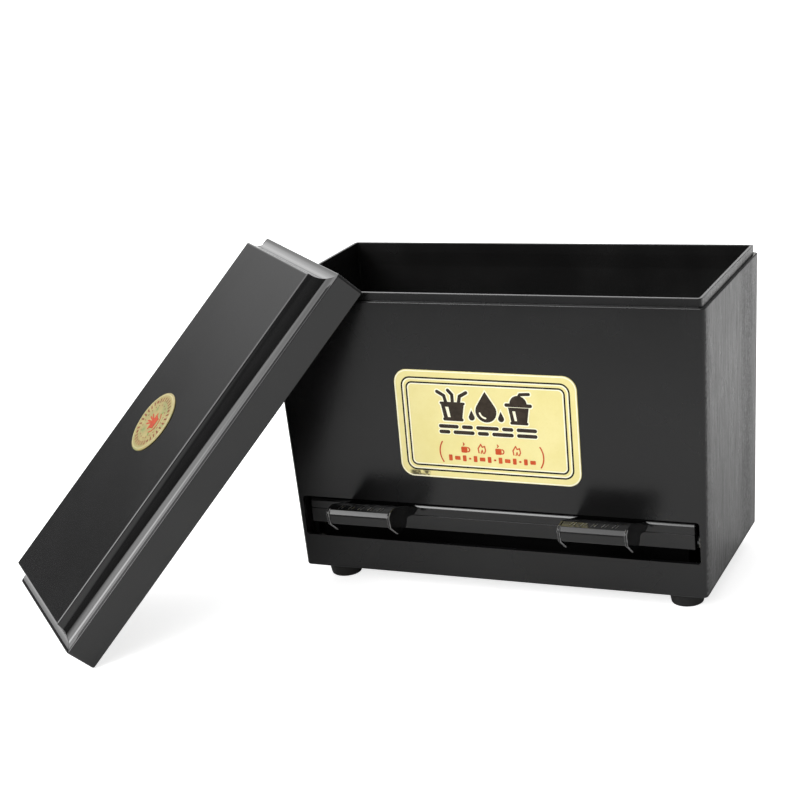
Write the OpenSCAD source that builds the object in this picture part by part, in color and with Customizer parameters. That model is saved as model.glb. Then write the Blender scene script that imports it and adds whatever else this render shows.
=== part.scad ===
// Straw dispenser box with two press levers and a loose lid that leans on its
// front left corner. Millimetres, +Z up, front towards -Y. The origin is the
// middle of the front left foot's underside, on the table plane.

/* [Body] */
// Width of the box at its shoulder, along X
body_w = 270; // [262:1:280]
// Depth of the box at its shoulder, along Y
body_d = 127.5; // [124:0.5:134]
// Height of the box walls, from bottom edge to shoulder
body_h = 173.3; // [165:0.1:190]
// Wall thickness of the box
wall = 3; // [2.4:0.1:3.2]
// Radius of the upright corners
corner_r = 3; // [1.6:0.1:5]
// How far each side wall comes in at the bottom
draft_side = 6; // [5:0.1:6.2]
// How far the back wall comes in at the bottom
draft_back = 5.5; // [3:0.1:6]
// How far the front wall goes back at the bottom
draft_front = 0.9; // [0.5:0.1:1.2]

/* [Rim] */
// Height of the thin rim above the shoulder
rim_h = 5; // [3:0.1:6]
// Width of the ledge outside the rim, where the lid sits when closed
rim_ledge = 2; // [1.8:0.1:2.6]
// Thickness of the rim
rim_t = 2; // [1.4:0.1:2.4]

/* [Slot] */
// Width of the slot in the front wall
slot_w = 252.4; // [250:0.1:253]
// Height of the slot's lower edge above the table
slot_z0 = 32.6; // [31.5:0.1:33]
// Height of the slot's upper edge above the table
slot_z1 = 58.4; // [58:0.1:60]
// Corner radius of the slot
slot_r = 2; // [1:0.1:3]

/* [Feet] */
// Height of the feet under the bottom edge of the box
foot_h = 11.7; // [11:0.1:13]
// Radius of a foot at its top
foot_r_top = 11.5; // [10.5:0.1:12]
// Radius of a foot where it stands
foot_r_low = 9.5; // [8.5:0.1:10.4]
// Distance of the feet from the middle, along X
foot_x = 111.5; // [108:0.1:112]
// Place of the front feet along Y, towards the front
foot_y_front = 42.5; // [42:0.1:44]
// Place of the rear feet along Y, towards the back
foot_y_rear = 38; // [36:0.1:40]

/* [Rocker] */
// Distance of the rocker's axis behind the middle plane, towards the front
axis_y = 44; // [43.8:0.1:44.4]
// Height of the rocker's axis above the table
axis_z = 40; // [39.8:0.1:40.3]
// Outer radius of the rocker's drum
drum_r = 16; // [15.6:0.1:16.2]
// Wall thickness of the drum
drum_t = 2.4; // [1.8:0.1:2.6]
// Half length of the drum along X
drum_half = 117; // [116:0.1:117.4]
// Radius of the steel shaft
shaft_r = 2.5; // [2:0.1:3]
// Radial running clearance between shaft and bush
run_gap = 0.05; // [0.03:0.01:0.1]
// Half length of the press bar along X
bar_half = 122.5; // [121:0.1:122.6]
// Height of the press bar's face
bar_h = 15.5; // [15:0.1:15.8]

/* [Levers] */
// Inner end of each lever, from the middle
lever_x0 = 52.3; // [48:0.1:56]
// Outer end of each lever, from the middle
lever_x1 = 93.6; // [88:0.1:98]
// Thickness of the lever's top plate and front lip
lever_t = 1.9; // [1.6:0.1:2.2]
// Thickness of the lever's cheeks
cheek_t = 1.6; // [1.3:0.1:2]

/* [Hopper] */
// Slope of the hopper floor, in degrees
floor_slope = 26; // [22:1:28]
// Thickness of the hopper floor
floor_t = 2.2; // [2:0.1:2.6]
// Length of the hopper floor along its slope
floor_len = 121; // [112:0.5:121.5]

/* [Label] */
// Width of the label plate on the front
label_w = 114; // [90:0.5:130]
// Height of the label plate on the front
label_h = 67.4; // [50:0.2:76]
// Corner radius of the label plate
label_r = 8.5; // [4:0.5:12]
// Height of the label's middle above the table
label_z = 110; // [104:0.5:130]
// Small sideways offset of the label's middle
label_x = 1.4; // [-3:0.1:3]

/* [Lid] */
// Length of the lid
lid_l = 270; // [269:0.5:280]
// Depth of the lid
lid_d = 127.5; // [127:0.5:134]
// Height of the lid's straight skirt
skirt_h = 19.2; // [18:0.1:19.4]
// Height of the raised middle panel above the skirt's upper edge
panel_h = 12.4; // [11:0.1:13]
// How far the panel is set in at the two ends
panel_in_end = 10; // [9:0.1:12]
// How far the panel is set in at front and back
panel_in_side = 8.8; // [8:0.1:12]
// Wall thickness of the lid
lid_wall = 1.6; // [1.5:0.1:1.7]
// Radius of the badge disc on the lid
badge_r = 20.5; // [12:0.5:26]

/* [Leaning lid] */
// Turn of the leaning lid about the vertical, in degrees
lid_turn = 46.9; // [46.5:0.1:47.3]
// Lean of the lid from the table, in degrees
lid_lean = 45.15; // [45.15:0.05:45.4]
// Middle of the leaning lid along X, towards the left
lid_x = 189.3; // [189:0.1:189.8]
// Middle of the leaning lid along Y, towards the front
lid_y = 103; // [102.6:0.1:103.4]
// Gap between the lid's lower edge and the table
lid_gap = 0.15; // [0.1:0.05:0.3]

/* [Hidden] */
$fn = 48;

// heights above the table
z_low = foot_h;
z_top = foot_h + body_h;
z_rim = z_top + rim_h;
hx = body_w / 2;
hy = body_d / 2;

// half width, front and back of the outer wall at a height
function side_at(z) = hx - draft_side * (1 - (z - z_low) / body_h);
function front_at(z) = -(hy - draft_front * (1 - (z - z_low) / body_h));
function back_at(z) = hy - draft_back * (1 - (z - z_low) / body_h);

// base plate
base_t = 2.5;
base_z = z_low + 1;
base_top = base_z + base_t;
base_gap = 0.35;
base_x = side_at(base_z) - wall - base_gap;
base_y0 = front_at(base_z) + wall + base_gap;
base_y1 = back_at(base_z) - wall - base_gap;
foot_boss_h = 3;

// screw places
boss_front = [70, -56.4];
boss_back = [80, 51.6];
frame_screw_y = [-20, 16];
floor_screw_s = [45, 100];

// side frames
frame_x0 = 123.2;
frame_x1 = 125.7;
bush_r = 4;

// slope of the hopper floor starts at this point
lip_y = -53;
lip_z = 59.5;

// middle of the rocker
ay = -axis_y;
az = axis_z;
pocket_end = 101;

// springs
wire_r = 0.45;
coil_r = 4.2;
coil_turns = 3;
coil_x0 = 118.3;
coil_pitch = 0.98;

// tilt of the front face
face_tilt = atan(draft_front / body_h);

// half size of the lid's flat middle panel, and length of the mitre cuts at its corners
panel_hx = lid_l / 2 - panel_in_end - lid_wall - 0.5;
panel_hy = lid_d / 2 - panel_in_side - lid_wall - 0.5;
mitre_len = 30;
skirt_top = -lid_wall - 0.01;

// centre height of the leaning lid
lid_z = lid_gap + lid_l / 2 * sin(lid_lean) + skirt_h * cos(lid_lean);

// ---------- helpers ----------

// rounded rectangle, centred
module rrect(w, d, r) {
    square([w - 2 * r, d], center = true);
    square([w, d - 2 * r], center = true);
    for (x = [-1, 1], y = [-1, 1]) translate([x * (w / 2 - r), y * (d / 2 - r)]) circle(r);
}

// extrude a section drawn in (Y, Z) along X
module along_x(x0, x1) {
    translate([x0, 0, 0]) rotate([90, 0, 90]) linear_extrude(x1 - x0) children();
}

// cylinder along X
module rod_x(x0, x1, r) {
    translate([x0, 0, 0]) rotate([0, 90, 0]) cylinder(r = r, h = x1 - x0);
}

// cylinder along Y
module rod_y(y0, y1, r) {
    translate([0, y0, 0]) rotate([-90, 0, 0]) cylinder(r = r, h = y1 - y0);
}

// tapered block that follows the walls, set in by an inset
module tapered(za, zb, inset, r) {
    hull() for (z = [za, zb - 0.01], sx = [-1, 1], e = [0, 1])
        translate([sx * (side_at(z) - inset - r),
                   e == 0 ? front_at(z) + inset + r : back_at(z) - inset - r, z])
            cylinder(r = r, h = 0.01, $fn = 32);
}

module pan_screw(len, head_r, head_h, r) {
    cylinder(r = head_r, h = head_h);
    cylinder(r = r, h = head_h + len);
}

// ---------- box ----------

module body_shell() {
    color("#1b1b1b") {
        difference() {
            union() {
                difference() {
                    tapered(z_low, z_top, 0, corner_r);
                    tapered(z_low - 1, z_top - 3, wall, 1.4);
                    translate([0, 0, z_top - 4]) linear_extrude(8)
                        rrect(2 * (hx - rim_ledge - rim_t), 2 * (hy - rim_ledge - rim_t), 1.2);
                }
                translate([0, 0, z_top - 0.5]) linear_extrude(rim_h + 0.5) difference() {
                    rrect(2 * (hx - rim_ledge), 2 * (hy - rim_ledge), corner_r - 0.4);
                    rrect(2 * (hx - rim_ledge - rim_t), 2 * (hy - rim_ledge - rim_t), 1.2);
                }
                // bosses for the base screws
                for (s = [-1, 1]) {
                    translate([s * boss_front[0], boss_front[1], base_top]) cylinder(r = 3.8, h = 7);
                    translate([s * boss_back[0], boss_back[1], base_top]) cylinder(r = 4.4, h = 14);
                }
            }
            // slot
            translate([0, -hy + 8, (slot_z0 + slot_z1) / 2]) rotate([90, 0, 0])
                linear_extrude(16) rrect(slot_w, slot_z1 - slot_z0, slot_r);
            // pilot holes
            for (s = [-1, 1]) {
                translate([s * boss_front[0], boss_front[1], base_top - 1]) cylinder(r = 1.35, h = 7);
                translate([s * boss_back[0], boss_back[1], base_top - 1]) cylinder(r = 1.35, h = 10);
            }
        }
    }
}

module base_plate() {
    color("#262626") difference() {
        union() {
            translate([0, (base_y0 + base_y1) / 2, base_z])
                linear_extrude(base_t) rrect(2 * base_x, base_y1 - base_y0, 1.2);
            // bosses over the feet
            for (s = [-1, 1], y = [-foot_y_front, foot_y_rear])
                translate([s * foot_x, y, base_top - 0.5]) cylinder(r = 4, h = foot_boss_h + 0.5);
            // ribs that stop the rocker at rest and when pressed
            translate([-24, ay - 6, base_top - 0.5]) cube([48, 4.2, 7.6]);
            translate([-24, ay + 11.6, base_top - 0.5]) cube([48, 3, 7.6]);
        }
        for (s = [-1, 1]) {
            translate([s * boss_front[0], boss_front[1], base_z - 1]) cylinder(r = 1.65, h = 5);
            translate([s * boss_back[0], boss_back[1], base_z - 1]) cylinder(r = 1.65, h = 5);
            for (y = frame_screw_y) translate([s * 118.5, y, base_z - 1]) cylinder(r = 1.65, h = 5);
            for (y = [-foot_y_front, foot_y_rear])
                translate([s * foot_x, y, base_z - 1]) cylinder(r = 1.1, h = 9);
        }
    }
}

module base_screws() {
    color("silver") for (s = [-1, 1]) {
        translate([s * boss_front[0], boss_front[1], base_z - 1.8]) pan_screw(7.5, 2.8, 1.8, 1.3);
        translate([s * boss_back[0], boss_back[1], base_z - 1.8]) pan_screw(10, 2.8, 1.8, 1.3);
    }
}

module foot(x, y) {
    color("#151515") translate([x, y, 0]) difference() {
        union() {
            cylinder(r1 = foot_r_low, r2 = foot_r_top, h = foot_h);
            translate([0, 0, foot_h - 0.01]) cylinder(r = foot_r_top, h = base_z - foot_h + 0.01);
        }
        translate([0, 0, base_z - 3.9]) cylinder(r = 1, h = 10);
    }
}
module foot_front_left() { foot(-foot_x, -foot_y_front); }
module foot_front_right() { foot(foot_x, -foot_y_front); }
module foot_rear_left() { foot(-foot_x, foot_y_rear); }
module foot_rear_right() { foot(foot_x, foot_y_rear); }

module foot_screws() {
    color("silver") for (s = [-1, 1], y = [-foot_y_front, foot_y_rear])
        translate([s * foot_x, y, base_top + foot_boss_h + 1.6]) rotate([180, 0, 0])
            pan_screw(9.1, 2.3, 1.6, 0.95);
}

// ---------- inner chassis ----------

// frame of the sloping floor: origin at the front lip, Y up the slope
module on_slope() {
    translate([0, lip_y, lip_z]) rotate([floor_slope, 0, 0]) children();
}

module side_frame(s) {
    under = floor_t / cos(floor_slope) + 0.05;
    k = tan(floor_slope);
    color("#2b2b2b") mirror([s < 0 ? 1 : 0, 0, 0]) difference() {
        union() {
            along_x(frame_x0, frame_x1) polygon([
                [-52, base_top], [50, base_top],
                [50, lip_z + k * (50 - lip_y) - under],
                [-50.5, lip_z + k * (-50.5 - lip_y) - under],
                [-52, lip_z + k * (-50.5 - lip_y) - under - 1.5]]);
            // foot flange
            translate([113, -28, base_top]) cube([frame_x1 - 113, 56, 2.5]);
            // flange under the hopper floor
            on_slope() translate([115, 30, -floor_t - 2.5]) cube([frame_x1 - 115, 82, 2.45]);
        }
        translate([0, ay, az]) rod_x(frame_x0 - 1, frame_x1 + 1, bush_r + 0.02);
        translate([0, ay + 9, az - coil_r]) rod_x(frame_x0 - 1, frame_x1 + 1, 0.8);
        for (y = frame_screw_y) translate([118.5, y, base_top - 1]) cylinder(r = 1.35, h = 5);
        on_slope() for (y = floor_screw_s) translate([118.5, y, -floor_t - 4]) cylinder(r = 1.25, h = 5);
    }
}
module side_frame_left() { side_frame(-1); }
module side_frame_right() { side_frame(1); }

module frame_screws() {
    color("silver") for (s = [-1, 1], y = frame_screw_y)
        translate([s * 118.5, y, base_z - 1.8]) pan_screw(5.6, 2.8, 1.8, 1.3);
}

module hopper_floor() {
    color("#202020") on_slope() difference() {
        union() {
            translate([-127.2, 0, -floor_t]) cube([254.4, floor_len, floor_t]);
            // stiffening ribs under the floor
            for (x = [-60, 0, 60]) translate([x - 1, 30, -floor_t - 6]) cube([2, 80, 6.2]);
        }
        for (s = [-1, 1], y = floor_screw_s) translate([s * 118.5, y, 0]) {
            translate([0, 0, -floor_t - 1]) cylinder(r = 1.45, h = 5);
            translate([0, 0, -1.5]) cylinder(r1 = 1.45, r2 = 2.95, h = 1.51);
        }
    }
}

module floor_screws() {
    color("silver") on_slope() for (s = [-1, 1], y = floor_screw_s) translate([s * 118.5, y, 0]) {
        translate([0, 0, -1.6]) cylinder(r1 = 1.2, r2 = 2.7, h = 1.5);
        translate([0, 0, -7.5]) cylinder(r = 1.2, h = 6.2);
    }
}

// ---------- bushes, shaft, springs ----------

module bush(s) {
    color("ivory") mirror([s < 0 ? 1 : 0, 0, 0]) translate([0, ay, az]) difference() {
        union() {
            rod_x(frame_x0 - 1.2, frame_x0, 5.6);
            rod_x(frame_x0 - 0.1, frame_x1, bush_r);
        }
        rod_x(frame_x0 - 2, frame_x1 + 1, shaft_r + run_gap);
    }
}
module bush_left() { bush(-1); }
module bush_right() { bush(1); }

module rocker_shaft() {
    color("silver") translate([0, ay, az]) rod_x(-126, 126, shaft_r);
}

// one ring of points of the coil's wire
function coil_ring(i, n) = let (a = 90 + 360 * coil_turns * i / n, x = coil_x0 + coil_pitch * coil_turns * i / n)
    [for (j = [0 : 7]) let (b = 45 * j)
        [x + wire_r * sin(b), (coil_r + wire_r * cos(b)) * cos(a), (coil_r + wire_r * cos(b)) * sin(a)]];

module return_spring(s) {
    n = 16 * coil_turns;
    rings = [for (i = [0 : n]) each coil_ring(i, n)];
    xe = coil_x0 + coil_pitch * coil_turns;
    sides = [for (i = [0 : n - 1], j = [0 : 7])
        [8 * i + j, 8 * i + (j + 1) % 8, 8 * (i + 1) + (j + 1) % 8, 8 * (i + 1) + j]];
    color("silver") mirror([s < 0 ? 1 : 0, 0, 0]) translate([0, ay, az]) {
        polyhedron(points = rings, faces = concat([[7, 6, 5, 4, 3, 2, 1, 0]], sides,
            [[for (j = [0 : 7]) 8 * n + j]]), convexity = 6);
        // leg on the rocker, from the top of the coil towards the front
        translate([coil_x0, 0, coil_r]) {
            rod_y(-9, 0.4, wire_r);
            translate([0, -9, 0]) sphere(wire_r);
            translate([0, -9, 0]) rod_x(-2.6, 0, wire_r);
        }
        // leg in the side frame, from the coil's other end towards the back
        translate([xe, 0, 0]) {
            translate([0, 0, coil_r]) rotate([180, 0, 0]) translate([0, -4.6, 0]) rod_y(0, 5, wire_r);
            translate([0, 4.6, coil_r]) sphere(wire_r);
            translate([0, 4.6, 0]) translate([0, 0, -coil_r]) cylinder(r = wire_r, h = 2 * coil_r);
            translate([0, 4.6, -coil_r]) sphere(wire_r);
            translate([0, 4.6, -coil_r]) rod_y(0, 4.4, wire_r);
            translate([0, 9, -coil_r]) sphere(wire_r);
            translate([0, 9, -coil_r]) rod_x(0, 3.2, wire_r);
        }
    }
}
module return_spring_left() { return_spring(-1); }
module return_spring_right() { return_spring(1); }

// ---------- rocker with press bar and levers ----------

// outline of the drum, about its axis: a cylinder with a flat front and a shallow pocket on top
module drum_outline() {
    intersection() {
        circle(drum_r, $fn = 96);
        translate([-11, -drum_r - 1]) square([40, 2 * drum_r + 2]);
    }
    polygon([[-11, 0], [-11, 15.1], [-8, 14.9],
             [drum_r * cos(pocket_end), drum_r * sin(pocket_end)], [0, 0]]);
}

module feed_rocker() {
    color("#232323") translate([0, ay, az]) difference() {
        union() {
            difference() {
                along_x(-drum_half, drum_half) drum_outline();
                for (e = [[-drum_half + 3, -1.5], [1.5, drum_half - 3]])
                    along_x(e[0], e[1]) intersection() {
                        circle(drum_r - drum_t, $fn = 96);
                        translate([-11 + drum_t, -drum_r]) square([40, 2 * drum_r]);
                    }
            }
            // fin that meets the two stop ribs
            along_x(-20, 20) polygon([[-1.5, -21], [1.5, -21], [1.5, -drum_r + 0.6], [-1.5, -drum_r + 0.6]]);
        }
        rod_x(-drum_half - 1, drum_half + 1, shaft_r);
        // groove for the press bar's tongue
        along_x(-drum_half - 1, drum_half + 1) translate([-11.5, 3.95]) square([2, 4.1]);
        // holes for the spring legs
        for (s = [-1, 1]) mirror([s < 0 ? 1 : 0, 0, 0])
            translate([0, -9, coil_r]) rod_x(drum_half - 4, drum_half + 1, 0.8);
    }
}

// section of the press bar, about the rocker's axis
module bar_section() {
    r = 1.5;
    step = 0.4;
    polygon(concat(
        [[-11, 0], [-11, 15.0], [-12.8, bar_h]],
        [for (a = [90 : 15 : 180]) [-15.8 + r + r * cos(a), bar_h - r + r * sin(a)]],
        [[-15.8, 9.5], [-15.8 - step, 9.3], [-15.8 - step, 0.6], [-15.8, 0]]));
    translate([-11.1, 4]) square([1.5, 4]);
}

lever_screw_x = [10, 31];

module press_bar() {
    color("#242424") translate([0, ay, az]) difference() {
        union() {
            along_x(-bar_half, bar_half) difference() {
                bar_section();
                translate([-11.05, 3.9]) square([3, 4.2]);
            }
            along_x(-drum_half + 0.5, drum_half - 0.5) translate([-11.1, 4]) square([1.5, 4]);
        }
        for (s = [-1, 1], x = lever_screw_x) translate([s * (lever_x0 + x), 0, 12.2]) {
            rod_y(-17, -10, 1.35);
            rod_y(-13, -10, 2.7);
        }
    }
}

// outline of a lever's cheek in (Y, Z)
cheek = [[-60.25, 54.8], [-83.3, 63.1], [-87, 64.1], [-90.6, 64.4], [-93.6, 63.9], [-95.4, 62.5],
         [-96.1, 60.8], [-94.7, 54.2], [-85.6, 46.9], [-77.2, 45.8], [-72.2, 47.5], [-70.6, 51.9],
         [-60.25, 49.7]];
// outline of its top plate, rounded nose, shallow groove and front lip
plate = [[-60.25, 54.8], [-83.5, 62.9], [-87, 63.8], [-90.5, 64], [-93, 63.5], [-94.6, 62.3],
         [-95.2, 60.9], [-94.8, 60.4], [-94.9, 59.9], [-94.2, 54.4],
         [-94.2 + lever_t, 54.6], [-94.9 + lever_t, 60.2], [-92.3, 61.5], [-90.3, 62], [-87.2, 61.8],
         [-84, 60.9], [-62.2, 53.1], [-62.2, 50.1], [-60.25, 49.7]];

module lever(s) {
    color("#202020") difference() {
        union() {
            along_x(s > 0 ? lever_x0 : -lever_x1, s > 0 ? lever_x1 : -lever_x0) polygon(plate);
            for (x = s > 0 ? [lever_x0, lever_x1 - cheek_t] : [-lever_x1, -lever_x0 - cheek_t])
                along_x(x, x + cheek_t) polygon(cheek);
            for (x = lever_screw_x) translate([s * (lever_x0 + x), 0, az + 12.2]) rod_y(-68, -60.25, 2.4);
        }
        for (x = lever_screw_x) translate([s * (lever_x0 + x), 0, az + 12.2]) rod_y(-66.5, -60, 1.25);
    }
}
module lever_left() { lever(-1); }
module lever_right() { lever(1); }

module lever_screws() {
    color("silver") for (s = [-1, 1], x = lever_screw_x)
        translate([s * (lever_x0 + x), 0, az + 12.2]) {
            rod_y(ay - 12.9, ay - 11.2, 2.5);
            rod_y(-66, ay - 12.8, 1.2);
        }
}

// ---------- label ----------

module front_label() {
    color("#efe3a0") translate([0, front_at(z_low), z_low]) rotate([face_tilt, 0, 0])
        translate([label_x, -0.02, label_z - z_low]) rotate([90, 0.44, 0])
            linear_extrude(0.7) rrect(label_w, label_h, label_r);
}

// ---------- lid ----------

// half outline of the lid across one direction: half size, inset of the panel, shift for the inside
function lid_half(h, inset, t) = concat(
    [[h - t, -skirt_h - (t > 0 ? 1 : 0)], [h - t, -t], [h - t - 0.8, -t]],
    [for (a = [10 : 10 : 80]) [h - t - 0.8 - (inset - 0.8) * sin(a), panel_h * (1 - cos(a)) - t]],
    [[h - t - inset, panel_h - t - (t > 0 ? 0 : 0.6)], [h - t - inset - (t > 0 ? 0 : 0.6), panel_h - t]]);

module lid_outline(h, inset, t) {
    p = lid_half(h, inset, t);
    n = len(p) - 1;
    polygon(concat(p, [for (i = [0 : n]) [-p[n - i][0], p[n - i][1]]]));
}

module lid_solid(t) {
    intersection() {
        translate([0, lid_d, 0]) rotate([90, 0, 0]) linear_extrude(2 * lid_d)
            lid_outline(lid_l / 2, panel_in_end, t);
        translate([-lid_l, 0, 0]) rotate([90, 0, 90]) linear_extrude(2 * lid_l)
            lid_outline(lid_d / 2, panel_in_side, t);
        translate([0, 0, -skirt_h - 5]) linear_extrude(skirt_h + panel_h + 10)
            if (t > 0) square([lid_l - 2 * t, lid_d - 2 * t], center = true);
            else rrect(lid_l, lid_d, 2);
    }
}

// moves a lid drawn level, skirt edge at zero, to where it leans
module leaning() {
    translate([-lid_x, -lid_y, lid_z]) rotate([0, 0, lid_turn]) rotate([0, -lid_lean, 0]) children();
}

// the lid is one moulding, drawn in flat pieces that meet face to face
module lid_whole() {
    difference() {
        lid_solid(0);
        lid_solid(lid_wall);
    }
}

// wedge that holds one side of the lid, mitred to the corners: 0 front, 1 back, 2 left, 3 right
module side_wedge(side, z0, z1) {
    ex = lid_l / 2 + 2;
    ey = lid_d / 2 + 2;
    ix = mitre_len;
    translate([0, 0, z0]) linear_extrude(z1 - z0)
        if (side < 2) mirror([0, side, 0])
            polygon([[-ex, -ey], [ex, -ey], [ex - ix, ix - ey], [ix - ex, ix - ey]]);
        else mirror([side - 2, 0, 0])
            polygon([[-ex, -ey], [ix - ex, ix - ey], [ix - ex, ey - ix], [-ex, ey]]);
}

module lid_side(side, z0, z1) {
    color("#1f1f1f") leaning() intersection() {
        difference() {
            lid_whole();
            translate([-panel_hx, -panel_hy, panel_h - lid_wall - 1]) cube([2 * panel_hx, 2 * panel_hy, lid_wall + 2]);
        }
        side_wedge(side, z0, z1);
    }
}
module lid_cove_front() { lid_side(0, skirt_top, panel_h + 1); }
module lid_cove_back() { lid_side(1, skirt_top, panel_h + 1); }
module lid_cove_left() { lid_side(2, skirt_top, panel_h + 1); }
module lid_cove_right() { lid_side(3, skirt_top, panel_h + 1); }
module lid_skirt_front() { lid_side(0, -skirt_h - 1, skirt_top); }
module lid_skirt_back() { lid_side(1, -skirt_h - 1, skirt_top); }
module lid_skirt_left() { lid_side(2, -skirt_h - 1, skirt_top); }
module lid_skirt_right() { lid_side(3, -skirt_h - 1, skirt_top); }

module lid_panel() {
    color("#242424") leaning() translate([-panel_hx, -panel_hy, panel_h - lid_wall])
        cube([2 * panel_hx, 2 * panel_hy, lid_wall]);
}

module lid_badge() {
    color("#c9b25a") leaning() translate([-0.4, 5.6, panel_h + 0.02]) {
        cylinder(r = badge_r, h = 0.6);
        cylinder(r = badge_r - 0.8, h = 0.9);
    }
}

// the origin is the middle of the front left foot's underside
module placed() { translate([foot_x, foot_y_front, 0]) children(); }

placed() body_shell();
placed() base_plate();
placed() base_screws();
placed() foot_front_left();
placed() foot_front_right();
placed() foot_rear_left();
placed() foot_rear_right();
placed() foot_screws();
placed() side_frame_left();
placed() side_frame_right();
placed() frame_screws();
placed() hopper_floor();
placed() floor_screws();
placed() bush_left();
placed() bush_right();
placed() return_spring_left();
placed() return_spring_right();
placed() front_label();
placed() feed_rocker();
placed() press_bar();
placed() lever_left();
placed() lever_right();
placed() lever_screws();
placed() rocker_shaft();
placed() lid_panel();
placed() lid_cove_front();
placed() lid_cove_back();
placed() lid_cove_left();
placed() lid_cove_right();
placed() lid_skirt_front();
placed() lid_skirt_back();
placed() lid_skirt_left();
placed() lid_skirt_right();
placed() lid_badge();
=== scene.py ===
import math

import bmesh
import bpy
from mathutils import Matrix, Vector
from mathutils.geometry import delaunay_2d_cdt


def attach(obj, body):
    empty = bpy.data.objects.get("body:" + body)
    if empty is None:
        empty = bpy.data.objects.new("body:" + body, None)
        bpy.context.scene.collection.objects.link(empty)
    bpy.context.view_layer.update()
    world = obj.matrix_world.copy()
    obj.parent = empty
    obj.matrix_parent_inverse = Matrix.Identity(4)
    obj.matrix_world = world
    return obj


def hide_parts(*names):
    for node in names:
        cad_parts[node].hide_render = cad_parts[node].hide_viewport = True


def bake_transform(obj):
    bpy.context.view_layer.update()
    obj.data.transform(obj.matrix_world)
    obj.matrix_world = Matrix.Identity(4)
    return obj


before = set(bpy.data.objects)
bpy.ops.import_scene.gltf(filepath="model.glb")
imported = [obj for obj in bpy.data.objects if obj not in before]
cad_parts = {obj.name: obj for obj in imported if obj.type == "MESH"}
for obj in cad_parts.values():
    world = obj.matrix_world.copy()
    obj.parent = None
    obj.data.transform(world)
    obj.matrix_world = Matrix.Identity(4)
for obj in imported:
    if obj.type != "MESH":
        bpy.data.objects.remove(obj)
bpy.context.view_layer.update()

# The middle of the box, in the row frame. Shapes below are drawn in millimetres about it.
OX, OY = 111.5, 42.5
MM = 0.001


def at(x, y, z):
    return Vector(((x + OX) * MM, (y + OY) * MM, z * MM))


def rx(a):
    return Matrix.Rotation(math.radians(a), 4, "X")


def ry(a):
    return Matrix.Rotation(math.radians(a), 4, "Y")


def rz(a):
    return Matrix.Rotation(math.radians(a), 4, "Z")


# ---------------------------------------------------------------- camera, light, floor

yaw, pitch, roll = (math.radians(a) for a in (-25.263, 17.629, -5.542))
fw = Vector((math.sin(yaw) * math.cos(pitch), math.cos(yaw) * math.cos(pitch), -math.sin(pitch)))
r0 = fw.cross(Vector((0, 0, 1))).normalized()
u0 = r0.cross(fw)
right = r0 * math.cos(roll) + u0 * math.sin(roll)
up = right.cross(fw)
cam_data = bpy.data.cameras.new("photo_camera")
cam_data.sensor_width = 36
cam_data.lens = 81.692
cam_data.clip_start, cam_data.clip_end = 0.05, 60
cam = bpy.data.objects.new("photo_camera", cam_data)
place = at(387.249, -996.172, 452.17)
cam.matrix_world = Matrix((
    (right.x, up.x, -fw.x, place.x),
    (right.y, up.y, -fw.y, place.y),
    (right.z, up.z, -fw.z, place.z),
    (0, 0, 0, 1)))
scene = bpy.context.scene
scene.collection.objects.link(cam)
scene.camera = cam
scene.view_settings.view_transform = "Standard"
scene.view_settings.look = "None"
scene.view_settings.exposure = 0
scene.view_settings.gamma = 1


def node(tree, kind, inputs=(), **props):
    n = tree.nodes.new(kind)
    for k, v in props.items():
        setattr(n, k, v)
    for k, v in dict(inputs).items():
        s = n.inputs[k]
        if isinstance(v, bpy.types.NodeSocket):
            tree.links.new(v, s)
        else:
            s.default_value = v
    return n


def math_node(tree, op, a, b=0.0, clamp=False):
    return node(tree, "ShaderNodeMath", {0: a, 1: b}, operation=op, use_clamp=clamp).outputs[0]


def ramp(tree, value, a, b, lo=0.0, hi=1.0, smooth=True):
    n = node(tree, "ShaderNodeMapRange", {0: value, 1: a, 2: b, 3: lo, 4: hi},
             interpolation_type="SMOOTHSTEP" if smooth else "LINEAR")
    return n.outputs[0]


def mix_colour(tree, factor, a, b, blend="MIX"):
    n = node(tree, "ShaderNodeMix", {0: factor, 6: a, 7: b}, data_type="RGBA", blend_type=blend)
    return n.outputs[2]


def rgba(c):
    return (c[0], c[1], c[2], 1.0)


world = bpy.data.worlds.new("studio")
scene.world = world
world.use_nodes = True
wt = world.node_tree
wt.nodes.clear()
direction = node(wt, "ShaderNodeTexCoord").outputs["Generated"]
KEY_BACK, KEY_FRONT, KEY_HOT, WALL, TOP_LIGHT, RIGHT_FILL, ROOM = 2.0, 4.7, 7.0, 1.9, 0.9, 0.2, 0.14


def along(v):
    return node(wt, "ShaderNodeVectorMath", {0: direction, 1: v}, operation="DOT_PRODUCT").outputs["Value"]


def product(*values):
    out = values[0]
    for v in values[1:]:
        out = math_node(wt, "MULTIPLY", out, v)
    return out


# A large soft box on the left, with a straight edge towards the front, and a bright wall behind.
sx, sy, sz = node(wt, "ShaderNodeSeparateXYZ", {0: direction}).outputs
edge = ramp(wt, along((0.826, 0.3585, 0.435)), 0.015, -0.015)
forward = along((-0.4226, -0.9063, 0.0))
lean_x = math_node(wt, "ADD", sx, math_node(wt, "MULTIPLY", math_node(wt, "SUBTRACT", sz, 0.465), 0.25))
hot = product(ramp(wt, forward, 0.68, 0.76), ramp(wt, sx, -0.56, -0.50), ramp(wt, lean_x, -0.265, -0.305), ramp(wt, sz, 0.30, 0.38),
              ramp(wt, sz, 0.55, 0.72, 1.0, 0.45), KEY_HOT)
power = math_node(wt, "ADD", ramp(wt, forward, 0.08, 0.60, KEY_BACK, KEY_FRONT, smooth=False), hot)
key = product(edge, ramp(wt, sz, 0.20, 0.44, smooth=False), ramp(wt, sz, 0.84, 0.76), ramp(wt, sz, 0.60, 0.76, 1.0, 0.6), power)
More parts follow.
